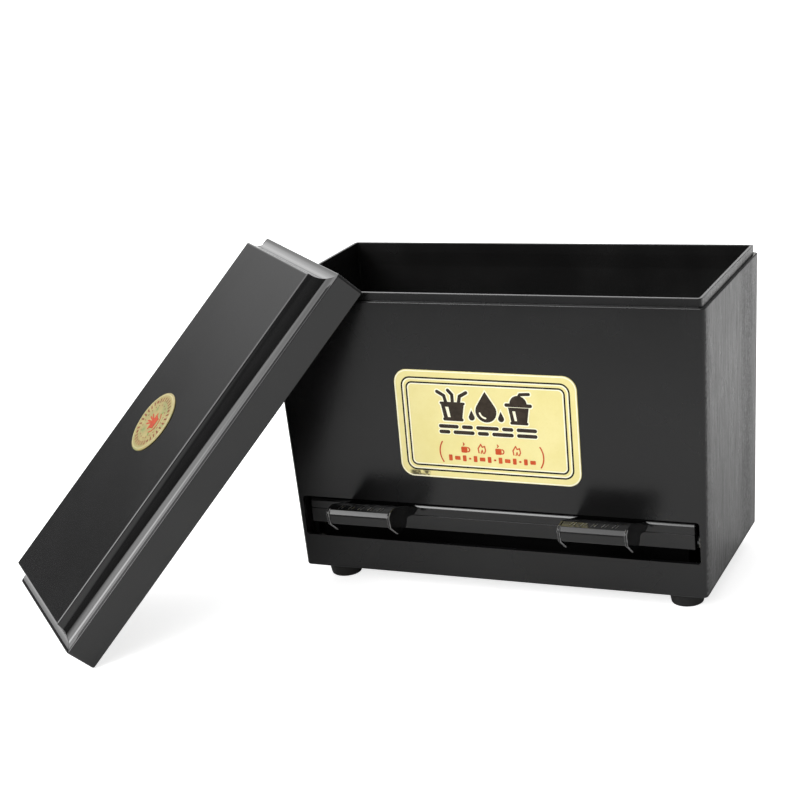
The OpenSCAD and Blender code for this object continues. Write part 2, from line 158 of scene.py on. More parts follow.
wall = product(ramp(wt, sy, -0.05, 0.30), ramp(wt, sx, 0.10, -0.35), ramp(wt, sx, -0.85, -0.67),
               ramp(wt, sz, -0.04, 0.27, smooth=False))
wall = math_node(wt, "MULTIPLY", wall, WALL)
top = ramp(wt, sz, 0.80, 0.95, 0.0, TOP_LIGHT)
fill = ramp(wt, sx, 0.1, 0.9, 0.0, RIGHT_FILL)
glow = math_node(wt, "MAXIMUM", key, wall)
for extra in (top, fill, ROOM):
    glow = math_node(wt, "ADD", glow, extra)
back = node(wt, "ShaderNodeBackground", {0: (1.0, 1.0, 1.0, 1.0), 1: glow})
seen = node(wt, "ShaderNodeBackground", {0: (1.0, 1.0, 1.0, 1.0), 1: 1.0})
ray = node(wt, "ShaderNodeLightPath").outputs["Is Camera Ray"]
both = node(wt, "ShaderNodeMixShader", {0: ray, 1: back.outputs[0], 2: seen.outputs[0]})
node(wt, "ShaderNodeOutputWorld", {0: both.outputs[0]})

# ---------------------------------------------------------------- meshes


def from_bmesh(name, bm, matrix=None, smooth=35, weighted=True):
    bmesh.ops.remove_doubles(bm, verts=bm.verts, dist=1e-7)
    bmesh.ops.recalc_face_normals(bm, faces=bm.faces)
    me = bpy.data.meshes.new(name)
    bm.to_mesh(me)
    bm.free()
    me.polygons.foreach_set("use_smooth", [smooth > 0] * len(me.polygons))
    if 0 < smooth < 180:
        me.set_sharp_from_angle(angle=math.radians(smooth))
    ob = bpy.data.objects.new(name, me)
    scene.collection.objects.link(ob)
    if matrix is not None:
        ob.matrix_world = matrix
    if weighted and smooth:
        m = ob.modifiers.new("normals", "WEIGHTED_NORMAL")
        m.keep_sharp = True
        m.weight = 80
    return ob


def baked(ob):
    """Applies the modifiers of ob to its mesh."""
    dg = bpy.context.evaluated_depsgraph_get()
    me = bpy.data.meshes.new_from_object(ob.evaluated_get(dg))
    old = ob.data
    ob.modifiers.clear()
    ob.data = me
    bpy.data.meshes.remove(old)
    return ob


def ring(x0, x1, y0, y1, r, z, n=6):
    """Rounded rectangle, anticlockwise seen from above."""
    r = max(r, 0.02)
    pts = []
    for cx, cy, a0 in ((x1 - r, y1 - r, 0), (x0 + r, y1 - r, 90), (x0 + r, y0 + r, 180), (x1 - r, y0 + r, 270)):
        for i in range(n + 1):
            a = math.radians(a0 + 90 * i / n)
            pts.append((cx + r * math.cos(a), cy + r * math.sin(a), z))
    return pts


def loft(bm, rings, place, closed=False, caps=(False, False)):
    rows = [[bm.verts.new(place(p)) for p in rg] for rg in rings]
    m = len(rows[0])
    pairs = list(zip(rows, rows[1:])) + ([(rows[-1], rows[0])] if closed else [])
    for a, b in pairs:
        for i in range(m):
            j = (i + 1) % m
            bm.faces.new((a[i], a[j], b[j], b[i]))
    if caps[0]:
        bm.faces.new(list(reversed(rows[0])))
    if caps[1]:
        bm.faces.new(rows[-1])
    return rows


def lathe(bm, profile, place, n=48):
    """Turns (radius, height) points about the local Z axis. A radius of 0 closes the end."""
    rows = []
    for r, h in profile:
        if r < 1e-6:
            rows.append([bm.verts.new(place((0, 0, h)))])
        else:
            rows.append([bm.verts.new(place((r * math.cos(2 * math.pi * i / n), r * math.sin(2 * math.pi * i / n), h)))
                         for i in range(n)])
    for a, b in zip(rows, rows[1:]):
        for i in range(n):
            j = (i + 1) % n
            if len(a) == 1 and len(b) == 1:
                continue
            if len(a) == 1:
                bm.faces.new((a[0], b[j], b[i]))
            elif len(b) == 1:
                bm.faces.new((a[i], a[j], b[0]))
            else:
                bm.faces.new((a[i], a[j], b[j], b[i]))


def rounded(points, radii, n=4):
    """Rounds the corners of a closed polygon."""
    out = []
    k = len(points)
    for i, p in enumerate(points):
        r = radii[i] if isinstance(radii, (list, tuple)) else radii
        a, b, c = Vector(points[i - 1]), Vector(p), Vector(points[(i + 1) % k])
        d1, d2 = (a - b), (c - b)
        l1, l2 = d1.length, d2.length
        d1.normalize(), d2.normalize()
        half = math.acos(max(-1, min(1, d1.dot(d2)))) / 2
        if r <= 0 or half > math.radians(86):
            out.append(tuple(b))
            continue
        t = min(r / math.tan(half), 0.45 * l1, 0.45 * l2)
        rr = t * math.tan(half)
        mid = (d1 + d2).normalized() * (rr / math.sin(half))
        centre = b + mid
        s, e = b + d1 * t - centre, b + d2 * t - centre
        a0, a1 = math.atan2(s.y, s.x), math.atan2(e.y, e.x)
        da = (a1 - a0 + math.pi) % (2 * math.pi) - math.pi
        for q in range(n + 1):
            ang = a0 + da * q / n
            out.append((centre.x + rr * math.cos(ang), centre.y + rr * math.sin(ang)))
    return out


def inset(points, d):
    """Moves each corner of a closed polygon inwards, for small bevels."""
    area = sum(points[i - 1][0] * points[i][1] - points[i][0] * points[i - 1][1] for i in range(len(points)))
    s = 1 if area > 0 else -1
    out = []
    k = len(points)
    for i in range(k):
        a, b, c = Vector(points[i - 1]), Vector(points[i]), Vector(points[(i + 1) % k])
        n1 = Vector((-(b - a).y, (b - a).x)) * s
        n2 = Vector((-(c - b).y, (c - b).x)) * s
        if n1.length < 1e-9 or n2.length < 1e-9:
            out.append(tuple(b))
            continue
        n1.normalize(), n2.normalize()
        m = n1 + n2
        if m.length < 1e-6:
            out.append(tuple(b))
            continue
        m.normalize()
        out.append(tuple(b + m * (d / max(0.4, m.dot(n1)))))
    return out


def prism_x(bm, section, x0, x1, bevel, place=at):
    """A section drawn in (Y, Z) run along X, with small bevels at both ends."""
    steps = [(bevel * (1 - math.sin(a)), inset(section, bevel * (1 - math.cos(a))) if a else section)
             for a in (math.radians(90), math.radians(60), math.radians(30), 0.0)]
    rings = [[(x0 + d, p[0], p[1]) for p in s] for d, s in steps]
    rings += [[(x1 - d, p[0], p[1]) for p in s] for d, s in reversed(steps)]
    loft(bm, rings, lambda p: place(*p), caps=(True, True))


# ---------------------------------------------------------------- materials


def material(name):
    m = bpy.data.materials.new(name)
    m.use_nodes = True
    m.node_tree.nodes.clear()
    return m, m.node_tree


def noise(t, vec, scale, detail=2.0, rough=0.5, distortion=0.0):
    return node(t, "ShaderNodeTexNoise", {"Vector": vec, "Scale": scale, "Detail": detail,
                                           "Roughness": rough, "Distortion": distortion}).outputs[0]


def stretched(t, vec, scale):
    return node(t, "ShaderNodeMapping", {"Vector": vec, "Scale": scale}).outputs[0]


def heights(t, parts):
    """Sum of (value 0..1, height in metres)."""
    total = None
    for v, h in parts:
        x = math_node(t, "MULTIPLY", math_node(t, "SUBTRACT", v, 0.5), h)
        total = x if total is None else math_node(t, "ADD", total, x)
    return total


def bump(t, h):
    return node(t, "ShaderNodeBump", {"Strength": 1.0, "Distance": 1.0, "Height": h}).outputs[0]


def finish_material(t, colour, roughness, normal=None, **fixed):
    ins = {"Base Color": colour, "Roughness": roughness}
    if normal is not None:
        ins["Normal"] = normal
    ins.update({k.replace("_", " "): v for k, v in fixed.items()})
    p = node(t, "ShaderNodeBsdfPrincipled", ins)
    node(t, "ShaderNodeOutputMaterial", {0: p.outputs[0]})
    return p


def product2(t, a, b):
    return math_node(t, "MULTIPLY", a, b)


def coords(t):
    return node(t, "ShaderNodeTexCoord").outputs["Object"]


def split(t, vec):
    return node(t, "ShaderNodeSeparateXYZ", {0: vec}).outputs


def black_plastic(name, dark=(0.003, 0.003, 0.0031), light=(0.0055, 0.0055, 0.0057), rough=(0.16, 0.26),
                  peel=9e-6, grain=0.6e-6, level=0.42, rubbed_glint=0.0):
    m, t = material(name)
    c = coords(t)
    n1 = noise(t, c, 14, 3, 0.6)
    n2 = noise(t, c, 430, 1.5, 0.5)
    n3 = noise(t, c, 3200, 1, 0.5)
    smear = noise(t, stretched(t, c, (30, 30, 160)), 1.0, 4, 0.6)
    colour = mix_colour(t, ramp(t, n1, 0.35, 0.7), rgba(dark), rgba(light))
    r = ramp(t, math_node(t, "ADD", math_node(t, "MULTIPLY", n1, 0.5), math_node(t, "MULTIPLY", smear, 0.5)),
             0.3, 0.7, rough[0], rough[1])
    # faces marked by the attribute are painted a lighter grey: wear and a painted highlight on the lever cheeks
    if rubbed_glint:
        wear_and_glint = node(t, "ShaderNodeAttribute", attribute_name="rubbed_glint").outputs["Fac"]
        colour = mix_colour(t, math_node(t, "MULTIPLY", wear_and_glint, ramp(t, n2, 0.3, 0.6, 0.4, 1.0)), colour, rgba((rubbed_glint,) * 3))
    finish_material(t, colour, r, bump(t, heights(t, [(n2, peel), (n3, grain)])), Specular_IOR_Level=level)
    return m


def box_plastic():
    m, t = material("box_black_plastic")
    c = coords(t)
    x, y, z = split(t, c)
    face = node(t, "ShaderNodeTexCoord").outputs["Normal"]
    nx, ny, nz = split(t, face)
    side = ramp(t, math_node(t, "ABSOLUTE", nx), 0.72, 0.93)
    # only the outside: the inner faces look towards the middle
    out = math_node(t, "GREATER_THAN", math_node(t, "MULTIPLY", nx, math_node(t, "SUBTRACT", x, OX * MM)), 0.0)
    side = math_node(t, "MULTIPLY", side, out)
    n1 = noise(t, c, 14, 3, 0.6)
    n2 = noise(t, c, 450, 2.5, 0.5)
    n3 = noise(t, c, 3200, 1, 0.5)
    streak = noise(t, stretched(t, c, (250, 250, 42)), 1.0, 5, 0.66, 0.3)
    fibre = noise(t, stretched(t, c, (900, 900, 170)), 1.0, 4, 0.65)
    curl = noise(t, stretched(t, c, (420, 420, 190)), 1.0, 4, 0.62, 1.4)
    # rougher bands towards the front and the back edge of the side walls
    yy = math_node(t, "SUBTRACT", y, OY * MM)
    bands = math_node(t, "MAXIMUM", ramp(t, yy, 0.022, 0.036), ramp(t, yy, -0.044, -0.054))
    bands = math_node(t, "MULTIPLY", bands, side)
    colour = mix_colour(t, ramp(t, n1, 0.35, 0.7), rgba((0.003, 0.003, 0.0031)), rgba((0.0055, 0.0055, 0.0057)))
    lines = noise(t, stretched(t, c, (440, 440, 26)), 1.0, 3, 0.7)
    mottle = noise(t, stretched(t, c, (430, 430, 560)), 1.0, 4, 0.7, 0.4)
    tone = product2(t, ramp(t, lines, 0.38, 0.62, 0.50, 1.0), ramp(t, streak, 0.38, 0.64, 0.68, 1.0))
    tone = product2(t, tone, ramp(t, mottle, 0.38, 0.62, 0.78, 1.12))
    # a darker grainy band towards the rear edge, a narrow one at the front edge
    rear = math_node(t, "SUBTRACT", yy, math_node(t, "MULTIPLY", math_node(t, "SUBTRACT", z, 0.0117), 0.0317))
    dense = math_node(t, "MAXIMUM", product2(t, ramp(t, yy, 0.014, 0.026), ramp(t, rear, 0.050, 0.038)), ramp(t, yy, -0.050, -0.059))
    dense = product2(t, product2(t, dense, side), ramp(t, mottle, 0.38, 0.62, 1.0, 0.35))
    tone = product2(t, tone, ramp(t, dense, 0.0, 1.0, 1.0, 0.40, smooth=False))
    # the very edges are dark
    rims = math_node(t, "MAXIMUM", ramp(t, rear, 0.0540, 0.0560), ramp(t, z, 0.0142, 0.0128))
    tone = product2(t, tone, ramp(t, rims, 0.0, 1.0, 1.0, 0.06, smooth=False))
    colour = mix_colour(t, product2(t, side, tone), colour, rgba((0.118, 0.1175, 0.1165)))
    lip = math_node(t, "MULTIPLY", side, ramp(t, z, 0.1853, 0.1858))
    colour = mix_colour(t, lip, colour, rgba((0.20, 0.199, 0.197)))
    chips = ramp(t, noise(t, c, 620, 2, 0.5), 0.665, 0.70)
    colour = mix_colour(t, product2(t, lip, chips), colour, rgba((0.62, 0.61, 0.60)))
    radial = math_node(t, "ADD", math_node(t, "MULTIPLY", nx, math_node(t, "SUBTRACT", x, OX * MM)),
                       math_node(t, "MULTIPLY", ny, math_node(t, "SUBTRACT", y, OY * MM)))
    within = ramp(t, radial, -0.02, -0.035)
    colour = mix_colour(t, math_node(t, "MULTIPLY", within, ramp(t, n1, 0.3, 0.7, 0.5, 1.0)), colour, rgba((0.010, 0.010, 0.0098)))
    r = ramp(t, n1, 0.3, 0.7, 0.22, 0.29)
    r_side = ramp(t, streak, 0.3, 0.7, 0.26, 0.40)
    r = node(t, "ShaderNodeMix", {0: side, 2: r, 3: r_side}, data_type="FLOAT").outputs[0]
    h = heights(t, [(n2, 17e-6), (n3, 0.5e-6)])
    hs = heights(t, [(streak, 330e-6), (fibre, 110e-6)])
    hc = heights(t, [(curl, 260e-6)])
    h = math_node(t, "ADD", h, math_node(t, "MULTIPLY", hs, side))
    h = math_node(t, "ADD", h, math_node(t, "MULTIPLY", hc, bands))
    level = ramp(t, math_node(t, "MAXIMUM", dense, product2(t, rims, side)), 0.0, 1.0, 0.42, 0.16, smooth=False)
    finish_material(t, colour, r, bump(t, h), Specular_IOR_Level=level)
    return m


def lid_plastic():
    m, t = material("lid_black_plastic")
    c = node(t, "ShaderNodeMapping", {"Vector": coords(t), "Location": LEAN_AT.translation, "Rotation": LEAN_AT.to_euler("XYZ")},
             vector_type="TEXTURE").outputs[0]
    x, y, z = split(t, c)
    panel = math_node(t, "MULTIPLY", ramp(t, z, 0.0121, 0.01235), math_node(
        t, "MULTIPLY", ramp(t, math_node(t, "ABSOLUTE", x), (HX - EE - 0.95) * MM, (HX - EE - 1.25) * MM),
        ramp(t, math_node(t, "ABSOLUTE", y), (HY - ES - 0.95) * MM, (HY - ES - 1.25) * MM)))
    n1 = noise(t, c, 18, 3, 0.6)
    n2 = noise(t, c, 260, 2, 0.5)
    grain = noise(t, c, 950, 3, 0.65)
    colour = mix_colour(t, ramp(t, n1, 0.35, 0.7), rgba((0.003, 0.003, 0.0031)), rgba((0.0055, 0.0055, 0.0057)))
    r_gloss = ramp(t, n1, 0.3, 0.7, 0.05, 0.09)
    r_matt = ramp(t, grain, 0.3, 0.7, 0.15, 0.21)
    r = node(t, "ShaderNodeMix", {0: panel, 2: r_gloss, 3: r_matt}, data_type="FLOAT").outputs[0]
    level = node(t, "ShaderNodeMix", {0: panel, 2: 0.57, 3: 0.22}, data_type="FLOAT").outputs[0]
    h = heights(t, [(n2, 3e-6)])
    h = math_node(t, "ADD", h, math_node(t, "MULTIPLY", heights(t, [(grain, 26e-6)]), panel))
    finish_material(t, colour, r, bump(t, h), Specular_IOR_Level=level)
    return m


def rubber():
    m, t = material("foot_black_rubber")
    c = coords(t)
    n1 = noise(t, c, 160, 4, 0.6)
    n2 = noise(t, c, 2200, 2, 0.6)
    colour = mix_colour(t, ramp(t, n1, 0.3, 0.75), rgba((0.006, 0.006, 0.006)), rgba((0.018, 0.017, 0.016)))
    finish_material(t, colour, ramp(t, n1, 0.3, 0.7, 0.5, 0.72), bump(t, heights(t, [(n2, 12e-6), (n1, 20e-6)])),
                    Specular_IOR_Level=0.4)
    return m


def metal(name, a, b, rough=(0.22, 0.38), along=(1, 1, 1)):
    m, t = material(name)
    c = coords(t)
    n1 = noise(t, c, 300, 4, 0.6)
    n2 = noise(t, stretched(t, c, tuple(2500 * k for k in along)), 1.0, 2, 0.5)
    colour = mix_colour(t, ramp(t, n1, 0.3, 0.7), rgba(a), rgba(b))
    finish_material(t, colour, ramp(t, n1, 0.3, 0.7, *rough), bump(t, heights(t, [(n2, 3e-6)])), Metallic=1.0)
    return m


def acetal():
    m, t = material("bush_white_acetal")
    c = coords(t)
    n1 = noise(t, c, 220, 3, 0.6)
    n2 = noise(t, c, 1800, 2, 0.5)
    colour = mix_colour(t, ramp(t, n1, 0.3, 0.7), rgba((0.72, 0.69, 0.61)), rgba((0.84, 0.82, 0.76)))
    finish_material(t, colour, ramp(t, n1, 0.3, 0.7, 0.34, 0.46), bump(t, heights(t, [(n2, 3e-6)])))
    return m


def print_ink(name, a, b, rough=(0.34, 0.46), scale=300, level=0.5):
    m, t = material(name)
    c = coords(t)
    n1 = noise(t, c, scale, 4, 0.6)
    n2 = noise(t, c, 2600, 2, 0.5)
    colour = mix_colour(t, ramp(t, n1, 0.3, 0.7), rgba(a), rgba(b))
    finish_material(t, colour, ramp(t, n1, 0.3, 0.7, *rough), bump(t, heights(t, [(n2, 1.5e-6)])), Specular_IOR_Level=level)
    return m


def label_face():
    """Pale yellow printed plate, a little foxed, with a brown smudge on its lower left edge."""
    m, t = material("label_pale_yellow")
    c = coords(t)
    x, y, z = split(t, c)
    n1 = noise(t, c, 40, 4, 0.6)
    n2 = noise(t, c, 900, 3, 0.6)
    n3 = noise(t, c, 2600, 2, 0.5)
    colour = mix_colour(t, ramp(t, n1, 0.3, 0.7), rgba((0.77, 0.68, 0.275)), rgba((0.81, 0.725, 0.33)))
    colour = mix_colour(t, ramp(t, n2, 0.45, 0.8, 0, 0.18), colour, rgba((0.72, 0.59, 0.215)))
    # smudge
    blob = noise(t, c, 330, 5, 0.7)
    near = math_node(t, "MULTIPLY",
                     math_node(t, "MULTIPLY", ramp(t, x, -0.0525, -0.0495), ramp(t, x, -0.0375, -0.0400)),
                     ramp(t, y, -0.0283, -0.0305))
    colour = mix_colour(t, math_node(t, "MULTIPLY", near, ramp(t, blob, 0.34, 0.54)), colour, rgba((0.075, 0.062, 0.02)))
    finish_material(t, colour, ramp(t, n1, 0.3, 0.7, 0.36, 0.46), bump(t, heights(t, [(n3, 2e-6), (n2, 2e-6)])))
    return m


def badge_face():
    """Printed disc: gold field with faint green tints."""
    m, t = material("badge_gold_print")
    c = coords(t)
    n1 = noise(t, c, 230, 4, 0.6)
    n2 = noise(t, c, 120, 3, 0.6)
    colour = mix_colour(t, ramp(t, n1, 0.3, 0.7), rgba((0.27, 0.215, 0.072)), rgba((0.34, 0.285, 0.105)))
    colour = mix_colour(t, ramp(t, n2, 0.5, 0.64, 0, 0.6), colour, rgba((0.15, 0.19, 0.06)))
    finish_material(t, colour, ramp(t, n1, 0.3, 0.7, 0.3, 0.42), bump(t, heights(t, [(n1, 3e-6)])))
    return m


HX, HY = 135.0, 63.75
PH, EE, ES, WT, SK = 12.4, 10.0, 8.8, 1.6, 19.2
LEAN, TURN = 45.15, 46.9
lid_z = 0.15 + 135 * math.sin(math.radians(LEAN)) + 19.2 * math.cos(math.radians(LEAN))
LEAN_AT = Matrix.Translation(at(-189.3, -103.0, lid_z)) @ rz(TURN) @ ry(-LEAN)
M_BOX = box_plastic()
M_LID = lid_plastic()
M_PARTS = black_plastic("parts_black_plastic", rough=(0.08, 0.14), peel=8e-6, level=0.45, rubbed_glint=0.26)
# painted shade: the drum and the inner parts are darker than the other black plastic and hardly reflect, so the slot
# and the inside of the box stay dark
M_DRUM_SHADE = black_plastic("drum_painted_shade_plastic", dark=(0.0005, 0.0005, 0.0005), light=(0.0011, 0.0011, 0.0011),
                       rough=(0.6, 0.7), peel=8e-6, grain=2e-6, level=0.03)
M_INNER_SHADE = black_plastic("inner_painted_shade_plastic", dark=(0.0012, 0.0012, 0.0012), light=(0.0024, 0.0024, 0.0024),
                        rough=(0.5, 0.62), peel=8e-6, grain=2e-6, level=0.12)
# painted glint: the raised marks on the levers are black plastic, and this grey metal stands in for the glints on their
# edges
M_MARK_GLINT = metal("mark_painted_glint_metal", (0.20, 0.20, 0.195), (0.40, 0.40, 0.39), (0.3, 0.5))
M_RUBBER = rubber()
M_ZINC = metal("zinc_steel", (0.48, 0.49, 0.50), (0.63, 0.64, 0.65))
M_SPRING = metal("spring_steel", (0.33, 0.34, 0.36), (0.46, 0.47, 0.49), (0.2, 0.32))
M_ACETAL = acetal()
M_LABEL = label_face()
M_BADGE = badge_face()
M_DARK_INK = print_ink("ink_dark_brown", (0.024, 0.017, 0.011), (0.042, 0.030, 0.020), level=0.22)
M_LINE_INK = print_ink("ink_line", (0.006, 0.005, 0.002), (0.014, 0.011, 0.005), level=0.2)
M_RED_INK = print_ink("ink_red_orange", (0.50, 0.058, 0.012), (0.58, 0.095, 0.022), level=0.25)
M_CREAM_INK = print_ink("ink_cream", (0.90, 0.86, 0.62), (0.94, 0.90, 0.70))
M_RIM_INK = print_ink("ink_badge_rim", (0.42, 0.37, 0.18), (0.52, 0.48, 0.27))
M_MARK_INK = print_ink("ink_dark_red", (0.13, 0.022, 0.008), (0.20, 0.036, 0.012), level=0.2)
M_GREEN_INK = print_ink("ink_olive", (0.13, 0.18, 0.045), (0.19, 0.24, 0.075), level=0.25)
M_MOTIF_INK = print_ink("ink_badge_red", (0.34, 0.032, 0.010), (0.42, 0.055, 0.016), level=0.2)


def give(ob, mat, body):
    ob.data.materials.clear()
    ob.data.materials.append(mat)
    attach(ob, body)
    return ob


# floor
bm = bmesh.new()
lathe(bm, [(0, 0), (1.5, 0), (4, 0), (12, 0)], lambda p: Vector((OX * MM + p[0], OY * MM + p[1], p[2])), n=96)
floor = from_bmesh("floor", bm, smooth=0)
m, t = material("floor_white")
c = coords(t)
fn = noise(t, c, 3, 3, 0.5)
fx, fy, fz = split(t, c)
colour = mix_colour(t, fn, rgba((0.79, 0.79, 0.79)), rgba((0.81, 0.81, 0.81)))
# painted shade: the floor darkens towards the front, away from the box, so the front of the box reflects a darker floor
colour = mix_colour(t, ramp(t, fy, -0.32, -1.10), colour, rgba((0.16, 0.16, 0.16)))
dif = node(t, "ShaderNodeBsdfDiffuse", {"Color": colour})
lift = node(t, "ShaderNodeEmission", {"Color": (1, 1, 1, 1), "Strength": 0.74})
plus = node(t, "ShaderNodeAddShader", {0: dif.outputs[0], 1: lift.outputs[0]})
sees = node(t, "ShaderNodeLightPath").outputs["Is Camera Ray"]
pick = node(t, "ShaderNodeMixShader", {0: sees, 1: dif.outputs[0], 2: plus.outputs[0]})
node(t, "ShaderNodeOutputMaterial", {0: pick.outputs[0]})
floor.data.materials.append(m)

# ---------------------------------------------------------------- box

Z0, Z1, ZR = 11.7, 185.0, 190.0


def share(z):
    return 1 - (min(z, Z1) - Z0) / (Z1 - Z0)


def side_at(z):
    return HX - 6.0 * share(z)


def front_at(z):
    return -(HY - 0.9 * share(z))


def back_at(z):
    return HY - 5.5 * share(z)


def wall_ring(d, z, r, n=8):
    return ring(-side_at(z) + d, side_at(z) - d, front_at(z) + d, back_at(z) - d, r, z, n)


rows = [(2.65, 11.70, 1.6), (0.75, 11.70, 2.4), (0.32, 11.80, 2.8), (0.08, 12.05, 3.0), (0.0, 12.45, 3.0)]
rows += [(0.0, z, 3.0) for z in (34, 60, 85, 110, 135, 160, 178)]
rows += [(0.0, 184.2, 3.0), (0.08, 184.6, 3.0), (0.32, 184.9, 3.0), (0.75, 185.0, 2.9),
         (1.85, 185.0, 2.6), (2.0, 185.15, 2.6), (2.0, 189.62, 2.6), (2.04, 189.82, 2.6), (2.12, 189.94, 2.5),
         (2.3, 190.0, 2.4), (3.72, 190.0, 1.5), (3.86, 189.96, 1.35), (3.96, 189.86, 1.25), (4.0, 189.7, 1.2),
         (4.0, 184.0, 1.2), (3.96, 183.2, 1.2), (3.1, 175.5, 1.4), (3.0, 174.0, 1.4)]
rows += [(3.0, z, 1.4) for z in (150, 110, 85, 60, 34)]
rows += [(3.0, 12.1, 1.4), (2.92, 11.82, 1.4)]
bm = bmesh.new()
loft(bm, [wall_ring(*q) for q in rows], lambda p: at(*p), closed=True)
box = from_bmesh("box_body", bm, smooth=50, weighted=False)

# slot in the front wall
bm = bmesh.new()
loft(bm, [[(p[0], y, p[1]) for p in ring(-126.2, 126.2, 32.6, 58.4, 2.0, 0, 8)] for y in (-75, -50)],
     lambda p: at(*p), caps=(True, True))
cutter = from_bmesh("slot_cutter", bm, smooth=0)
mod = box.modifiers.new("slot", "BOOLEAN")
mod.operation, mod.solver, mod.object = "DIFFERENCE", "EXACT", cutter
baked(box)
bpy.data.objects.remove(cutter)
mod = box.modifiers.new("slot_edge", "BEVEL")
mod.width, mod.segments, mod.limit_method, mod.angle_limit = 0.45 * MM, 3, "ANGLE", math.radians(60)
baked(box)
bm = bmesh.new()
bm.from_mesh(box.data)
# bosses for the screws of the base
for sx in (-1, 1):
    for bx, by, br, bh in ((70, -56.4, 3.8, 7), (80, 51.6, 4.4, 14)):
        zb = 15.2
        lathe(bm, [(0, zb), (br - 0.3, zb), (br, zb + 0.3), (br, zb + bh - 0.4), (br - 0.4, zb + bh), (0, zb + bh)],
              lambda p, bx=bx * sx, by=by: at(p[0] + bx, p[1] + by, p[2]), n=32)
bm.to_mesh(box.data)
bm.free()
box.data.polygons.foreach_set("use_smooth", [True] * len(box.data.polygons))
box.data.set_sharp_from_angle(angle=math.radians(50))
mod = box.modifiers.new("normals", "WEIGHTED_NORMAL")
mod.keep_sharp, mod.weight = True, 80
give(box, M_BOX, "box")
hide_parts("body_shell")

# feet
for name, fx, fy in (("foot_front_left", -111.5, -42.5), ("foot_front_right", 111.5, -42.5),
                     ("foot_rear_left", -111.5, 38.0), ("foot_rear_right", 111.5, 38.0)):
    bm = bmesh.new()
    profile = [(0, 0.5), (5.6, 0.5), (6.0, 0.42), (6.3, 0.1), (6.7, 0.0), (8.5, 0.0), (8.98, 0.1), (9.34, 0.38),
               (9.55, 0.85), (9.68, 1.5), (10.2, 4.6), (10.9, 8.6), (11.3, 10.9), (11.46, 11.55), (11.5, 11.75),
               (11.5, 12.5), (11.35, 12.7), (0, 12.7)]
    lathe(bm, profile, lambda p, fx=fx, fy=fy: at(p[0] + fx, p[1] + fy, p[2]), n=64)
    ob = from_bmesh(name + "_rubber", bm, smooth=40)
    give(ob, M_RUBBER, "box")
    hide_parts(name)

# ---------------------------------------------------------------- press bar and levers

AY, AZ = -44.0, 40.0
bar = [(-11.0, 0.0), (-11.0, 15.0), (-12.8, 15.5)]
bar += [(-14.85, 15.5), (-15.05, 15.46), (-15.2, 15.34), (-15.3, 15.18), (-15.72, 14.28), (-15.78, 14.08), (-15.8, 13.85)]
bar += [(-15.8, 9.62), (-15.86, 9.48), (-16.12, 9.34), (-16.2, 9.2), (-16.2, 0.9), (-16.12, 0.5), (-15.8, 0.12), (-15.4, 0.0)]
bar = [(AY + y, AZ + z) for y, z in bar]
bm = bmesh.new()
prism_x(bm, bar, -122.5, 122.5, 0.35)
ob = from_bmesh("press_bar_face", bm, smooth=32)
give(ob, M_PARTS, "rocker")
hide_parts("press_bar")

CHEEK = [(-58.4, 55.9), (-60.6, 56.1), (-83.3, 63.2), (-87.4, 64.5), (-90.6, 64.3), (-93.4, 63.9), (-95.4, 62.5), (-96.1, 60.8),
         (-94.7, 54.2), (-85.6, 46.9), (-77.2, 45.8), (-72.2, 47.5), (-70.6, 51.9), (-60.25, 49.7), (-58.6, 50.4)]
CHEEK_R = [0.1, 0.8, 4, 4, 3, 2, 1.5, 1.8, 2, 1.6, 4, 3, 3, 0, 0.1]
PLATE = [(-58.4, 55.9), (-60.6, 56.1), (-83.5, 63.0), (-87.6, 64.15), (-93.4, 63.4), (-95.2, 60.9),
         (-94.8, 60.4), (-94.9, 59.9), (-94.2, 54.4), (-92.3, 54.6), (-93.0, 60.2), (-92.3, 61.5), (-90.3, 62.0),
         (-87.2, 61.8), (-84.0, 60.9), (-62.2, 53.1), (-62.2, 50.1), (-60.25, 49.7), (-59.6, 50.2), (-58.4, 55.1)]
PLATE_R = [0.1, 0.8, 4, 2.0, 0.6, 0.3, 0.12, 0.25, 0.5, 0.5, 0.5, 0.5, 1, 2, 2, 1, 0.3, 0, 0, 0.1]
LX0, LX1 = 52.3, 93.6
for s, side_name in ((-1, "left"), (1, "right")):
    x0, x1 = (LX0, LX1) if s > 0 else (-LX1, -LX0)
    bm = bmesh.new()
    prism_x(bm, rounded(PLATE, PLATE_R), x0 + 0.9, x1 - 0.9, 0.05)
    for a in (x0, x1 - 1.6):
        prism_x(bm, rounded(CHEEK, CHEEK_R, 6), a, a + 1.6, 0.5)
    for bx in (10, 31):
        lathe(bm, [(0, 0), (2.1, 0), (2.4, 0.3), (2.4, 7.5), (0, 7.5)],
              lambda p, bx=bx: at(s * (LX0 + bx) + p[0], -68 + p[2], 52.2 + p[1]), n=32)
    # lighter bevels at the front of the end cheeks: wear and a painted highlight
    bmesh.ops.recalc_face_normals(bm, faces=bm.faces)
    wear_glint_layer = bm.faces.layers.float.new("rubbed_glint")
    for f in bm.faces:
        c = f.calc_center_median()
        ends = min(abs(c.x - at(e, 0, 0).x) for e in (x0, x0 + 1.6, x1 - 1.6, x1)) < 0.3 * MM
        f[wear_glint_layer] = 1.0 if ends and 0.25 < abs(f.normal.x) < 0.97 and f.normal.y < -0.12 and c.y < at(0, -84, 0).y else 0.0
    ob = from_bmesh("lever_paddle_" + side_name, bm, smooth=40)
    give(ob, M_PARTS, "rocker")
    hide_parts("lever_" + side_name)

# ---------------------------------------------------------------- return springs

WIRE, COIL, TURNS, CX0, PITCH = 0.45, 4.2, 3, 118.3, 0.98


def corner(a, b, c, d, n=4):
    """Points of a small bend at b, on the way from a to c."""
    a, b, c = Vector(a), Vector(b), Vector(c)
    p, q = b + (a - b).normalized() * d, b + (c - b).normalized() * d
    return [p.lerp(b, t / n).lerp(b.lerp(q, t / n), t / n) for t in range(n + 1)]


